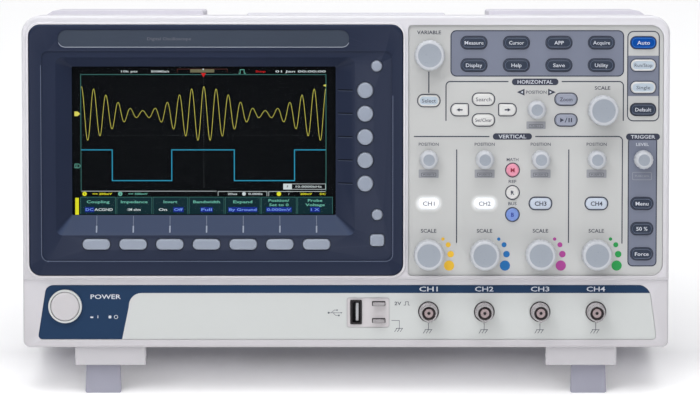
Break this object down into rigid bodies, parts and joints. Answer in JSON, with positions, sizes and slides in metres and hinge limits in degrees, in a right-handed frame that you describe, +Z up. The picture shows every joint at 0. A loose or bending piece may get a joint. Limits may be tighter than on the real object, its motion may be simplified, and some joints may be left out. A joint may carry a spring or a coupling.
{
  "type": "oscilloscope",
  "caption": "Bench oscilloscope with a wide screen, soft keys, turning knobs, bayonet inputs, a folding carry handle and swing-out front legs that lean it back.",
  "frame": {"origin": "middle of the object at bench level, under the legs' and rear feet's soles", "axes": "+X to the right seen from the front, +Y to the rear, +Z up; the case leans back 11.06 degrees about X on its front legs"},
  "size_m": [0.384, 0.1553, 0.2229],
  "materials": {
    "bezel_plastic": "satin, dark blue",
    "black_plastic": "matt",
    "board_green": "solder resist",
    "case_plastic": "fine matt moulded texture",
    "cover_plastic": "fine matt moulded texture",
    "display_black": "dark screen",
    "fascia_plastic": "matt printed panel",
    "foot_plastic": "matt",
    "gold_contact": "plated",
    "handle_plastic": "matt grip",
    "key_blue": "satin",
    "key_dark": "satin",
    "key_lit": "translucent, two of four lit",
    "key_pale": "satin",
    "key_slate": "satin",
    "key_white": "satin",
    "knob_plastic": "satin with ribbed side",
    "leg_plastic": "satin",
    "nickel": "plated",
    "power_key": "satin",
    "screw_steel": "zinc plated",
    "soft_key_grey": "satin",
    "steel_sheet": "plated sheet",
    "strip_plastic": "matt printed panel",
    "tinned_steel": "bare",
    "window_clear": "clear, glossy"
  },
  "bodies": {
    "case": {"ac_inlet": "black_plastic", "case_screws": "screw_steel", "chassis": "steel_sheet", "contact_inserts": "gold_contact", "control_fascia": "fascia_plastic", "display_bezel": "bezel_plastic", "display_window": "window_clear", "encoders": "black_plastic", "fan_frame": "black_plastic", "foot_blocks": "foot_plastic", "front_frame": "case_plastic", "frontend_shield": "tinned_steel", "hinge_pins": "screw_steel", "input_connectors": "nickel", "input_fascia": "strip_plastic", "keypad_board": "board_green", "lcd_module": "display_black", "main_board": "board_green", "power_supply": "board_green", "power_switch": "black_plastic", "probe_terminals": "nickel", "rear_cover": "cover_plastic", "rear_feet": "foot_plastic", "trigger_out_connector": "nickel", "usb_device_port": "tinned_steel", "usb_host_port": "tinned_steel"},
    "arrow_keys": {"arrow_keys": "key_white"},
    "autoset_key": {"autoset_key": "key_blue"},
    "channel_keys": {"channel_keys": "key_lit"},
    "default_key": {"default_key": "key_dark"},
    "function_keys": {"function_keys": "key_dark"},
    "hardcopy_key": {"hardcopy_key": "soft_key_grey"},
    "math_ref_bus_keys": {"math_ref_bus_keys": "key_pale"},
    "menu_keys": {"menu_keys": "soft_key_grey"},
    "menu_off_key": {"menu_off_key": "soft_key_grey"},
    "option_key": {"option_key": "soft_key_grey"},
    "run_stop_key": {"run_stop_key": "key_pale"},
    "search_keys": {"search_keys": "key_white"},
    "select_key": {"select_key": "key_pale"},
    "side_menu_keys": {"side_menu_keys": "soft_key_grey"},
    "single_key": {"single_key": "key_pale"},
    "trigger_keys": {"trigger_keys": "key_dark"},
    "zoom_play_keys": {"zoom_play_keys": "key_slate"},
    "variable_knob": {"variable_knob": "knob_plastic"},
    "horizontal_scale_knob": {"horizontal_scale_knob": "knob_plastic"},
    "horizontal_position_knob": {"horizontal_position_knob": "knob_plastic"},
    "trigger_level_knob": {"trigger_level_knob": "knob_plastic"},
    "ch1_scale_knob": {"ch1_scale_knob": "knob_plastic"},
    "ch1_position_knob": {"ch1_position_knob": "knob_plastic"},
    "ch2_scale_knob": {"ch2_scale_knob": "knob_plastic"},
    "ch2_position_knob": {"ch2_position_knob": "knob_plastic"},
    "ch3_scale_knob": {"ch3_scale_knob": "knob_plastic"},
    "ch3_position_knob": {"ch3_position_knob": "knob_plastic"},
    "ch4_scale_knob": {"ch4_scale_knob": "knob_plastic"},
    "ch4_position_knob": {"ch4_position_knob": "knob_plastic"},
    "power_button": {"power_button": "power_key"},
    "fan_rotor": {"fan_rotor": "black_plastic"},
    "handle": {"handle": "handle_plastic"},
    "tilt_leg_left": {"tilt_leg_left": "leg_plastic"},
    "tilt_leg_right": {"tilt_leg_right": "leg_plastic"}
  },
  "joints": [
    {"name": "arrow_keys_press", "type": "slide", "parent": "case", "child": "arrow_keys", "axis": [0, 0.9814, -0.1918], "range_m": [0, 0.0007], "stiffness_N_per_m": 1000, "springref_m": -0.0008},
    {"name": "autoset_key_press", "type": "slide", "parent": "case", "child": "autoset_key", "axis": [0, 0.9814, -0.1918], "range_m": [0, 0.0007], "stiffness_N_per_m": 1000, "springref_m": -0.0008},
    {"name": "channel_keys_press", "type": "slide", "parent": "case", "child": "channel_keys", "axis": [0, 0.9814, -0.1918], "range_m": [0, 0.0007], "stiffness_N_per_m": 1000, "springref_m": -0.0008},
    {"name": "default_key_press", "type": "slide", "parent": "case", "child": "default_key", "axis": [0, 0.9814, -0.1918], "range_m": [0, 0.0007], "stiffness_N_per_m": 1000, "springref_m": -0.0008},
    {"name": "function_keys_press", "type": "slide", "parent": "case", "child": "function_keys", "axis": [0, 0.9814, -0.1918], "range_m": [0, 0.0007], "stiffness_N_per_m": 1000, "springref_m": -0.0008},
    {"name": "hardcopy_key_press", "type": "slide", "parent": "case", "child": "hardcopy_key", "axis": [0, 0.9814, -0.1918], "range_m": [0, 0.0007], "stiffness_N_per_m": 1000, "springref_m": -0.0008},
    {"name": "math_ref_bus_keys_press", "type": "slide", "parent": "case", "child": "math_ref_bus_keys", "axis": [0, 0.9814, -0.1918], "range_m": [0, 0.0007], "stiffness_N_per_m": 1000, "springref_m": -0.0008},
    {"name": "menu_keys_press", "type": "slide", "parent": "case", "child": "menu_keys", "axis": [0, 0.9814, -0.1918], "range_m": [0, 0.0007], "stiffness_N_per_m": 1000, "springref_m": -0.0008},
    {"name": "menu_off_key_press", "type": "slide", "parent": "case", "child": "menu_off_key", "axis": [0, 0.9814, -0.1918], "range_m": [0, 0.0007], "stiffness_N_per_m": 1000, "springref_m": -0.0008},
    {"name": "option_key_press", "type": "slide", "parent": "case", "child": "option_key", "axis": [0, 0.9814, -0.1918], "range_m": [0, 0.0007], "stiffness_N_per_m": 1000, "springref_m": -0.0008},
    {"name": "run_stop_key_press", "type": "slide", "parent": "case", "child": "run_stop_key", "axis": [0, 0.9814, -0.1918], "range_m": [0, 0.0007], "stiffness_N_per_m": 1000, "springref_m": -0.0008},
    {"name": "search_keys_press", "type": "slide", "parent": "case", "child": "search_keys", "axis": [0, 0.9814, -0.1918], "range_m": [0, 0.0007], "stiffness_N_per_m": 1000, "springref_m": -0.0008},
    {"name": "select_key_press", "type": "slide", "parent": "case", "child": "select_key", "axis": [0, 0.9814, -0.1918], "range_m": [0, 0.0007], "stiffness_N_per_m": 1000, "springref_m": -0.0008},
    {"name": "side_menu_keys_press", "type": "slide", "parent": "case", "child": "side_menu_keys", "axis": [0, 0.9814, -0.1918], "range_m": [0, 0.0007], "stiffness_N_per_m": 1000, "springref_m": -0.0008},
    {"name": "single_key_press", "type": "slide", "parent": "case", "child": "single_key", "axis": [0, 0.9814, -0.1918], "range_m": [0, 0.0007], "stiffness_N_per_m": 1000, "springref_m": -0.0008},
    {"name": "trigger_keys_press", "type": "slide", "parent": "case", "child": "trigger_keys", "axis": [0, 0.9814, -0.1918], "range_m": [0, 0.0007], "stiffness_N_per_m": 1000, "springref_m": -0.0008},
    {"name": "zoom_play_keys_press", "type": "slide", "parent": "case", "child": "zoom_play_keys", "axis": [0, 0.9814, -0.1918], "range_m": [0, 0.0007], "stiffness_N_per_m": 1000, "springref_m": -0.0008},
    {"name": "power_button_press", "type": "slide", "parent": "case", "child": "power_button", "axis": [0, 0.9814, -0.1918], "range_m": [0, 0.003], "stiffness_N_per_m": 700, "springref_m": -0.002},
    {"name": "variable_knob_turn", "type": "hinge", "parent": "case", "child": "variable_knob", "pos_m": [0.0495, -0.03741, 0.20035], "axis": [0, 0.9814, -0.1918], "continuous": true},
    {"name": "horizontal_scale_knob_turn", "type": "hinge", "parent": "case", "child": "horizontal_scale_knob", "pos_m": [0.1522, -0.04366, 0.16836], "axis": [0, 0.9814, -0.1918], "continuous": true},
    {"name": "horizontal_position_knob_turn", "type": "hinge", "parent": "case", "child": "horizontal_position_knob", "pos_m": [0.113, -0.04358, 0.16875], "axis": [0, 0.9814, -0.1918], "continuous": true},
    {"name": "trigger_level_knob_turn", "type": "hinge", "parent": "case", "child": "trigger_level_knob", "pos_m": [0.1763, -0.04926, 0.1397], "axis": [0, 0.9814, -0.1918], "continuous": true},
    {"name": "ch1_scale_knob_turn", "type": "hinge", "parent": "case", "child": "ch1_scale_knob", "pos_m": [0.0492, -0.0601, 0.08425], "axis": [0, 0.9814, -0.1918], "continuous": true},
    {"name": "ch1_position_knob_turn", "type": "hinge", "parent": "case", "child": "ch1_position_knob", "pos_m": [0.0492, -0.04926, 0.1397], "axis": [0, 0.9814, -0.1918], "continuous": true},
    {"name": "ch2_scale_knob_turn", "type": "hinge", "parent": "case", "child": "ch2_scale_knob", "pos_m": [0.0824, -0.0601, 0.08425], "axis": [0, 0.9814, -0.1918], "continuous": true},
    {"name": "ch2_position_knob_turn", "type": "hinge", "parent": "case", "child": "ch2_position_knob", "pos_m": [0.0824, -0.04926, 0.1397], "axis": [0, 0.9814, -0.1918], "continuous": true},
    {"name": "ch3_scale_knob_turn", "type": "hinge", "parent": "case", "child": "ch3_scale_knob", "pos_m": [0.1156, -0.0601, 0.08425], "axis": [0, 0.9814, -0.1918], "continuous": true},
    {"name": "ch3_position_knob_turn", "type": "hinge", "parent": "case", "child": "ch3_position_knob", "pos_m": [0.1156, -0.04926, 0.1397], "axis": [0, 0.9814, -0.1918], "continuous": true},
    {"name": "ch4_scale_knob_turn", "type": "hinge", "parent": "case", "child": "ch4_scale_knob", "pos_m": [0.1488, -0.0601, 0.08425], "axis": [0, 0.9814, -0.1918], "continuous": true},
    {"name": "ch4_position_knob_turn", "type": "hinge", "parent": "case", "child": "ch4_position_knob", "pos_m": [0.1488, -0.04926, 0.1397], "axis": [0, 0.9814, -0.1918], "continuous": true},
    {"name": "fan_spin", "type": "hinge", "parent": "case", "child": "fan_rotor", "pos_m": [0.092, 0.04976, 0.11199], "axis": [0, 0.9814, -0.1918], "continuous": true},
    {"name": "handle_swing", "type": "hinge", "parent": "case", "child": "handle", "pos_m": [0, 0.01502, 0.20794], "axis": [1, 0, 0], "range_deg": [0, 90]},
    {"name": "tilt_leg_left_fold", "type": "hinge", "parent": "case", "child": "tilt_leg_left", "pos_m": [-0.145, -0.06006, 0.02189], "axis": [1, 0, 0], "range_deg": [0, 88]},
    {"name": "tilt_leg_right_fold", "type": "hinge", "parent": "case", "child": "tilt_leg_right", "pos_m": [0.145, -0.06006, 0.02189], "axis": [1, 0, 0], "range_deg": [0, 88]}
  ]
}
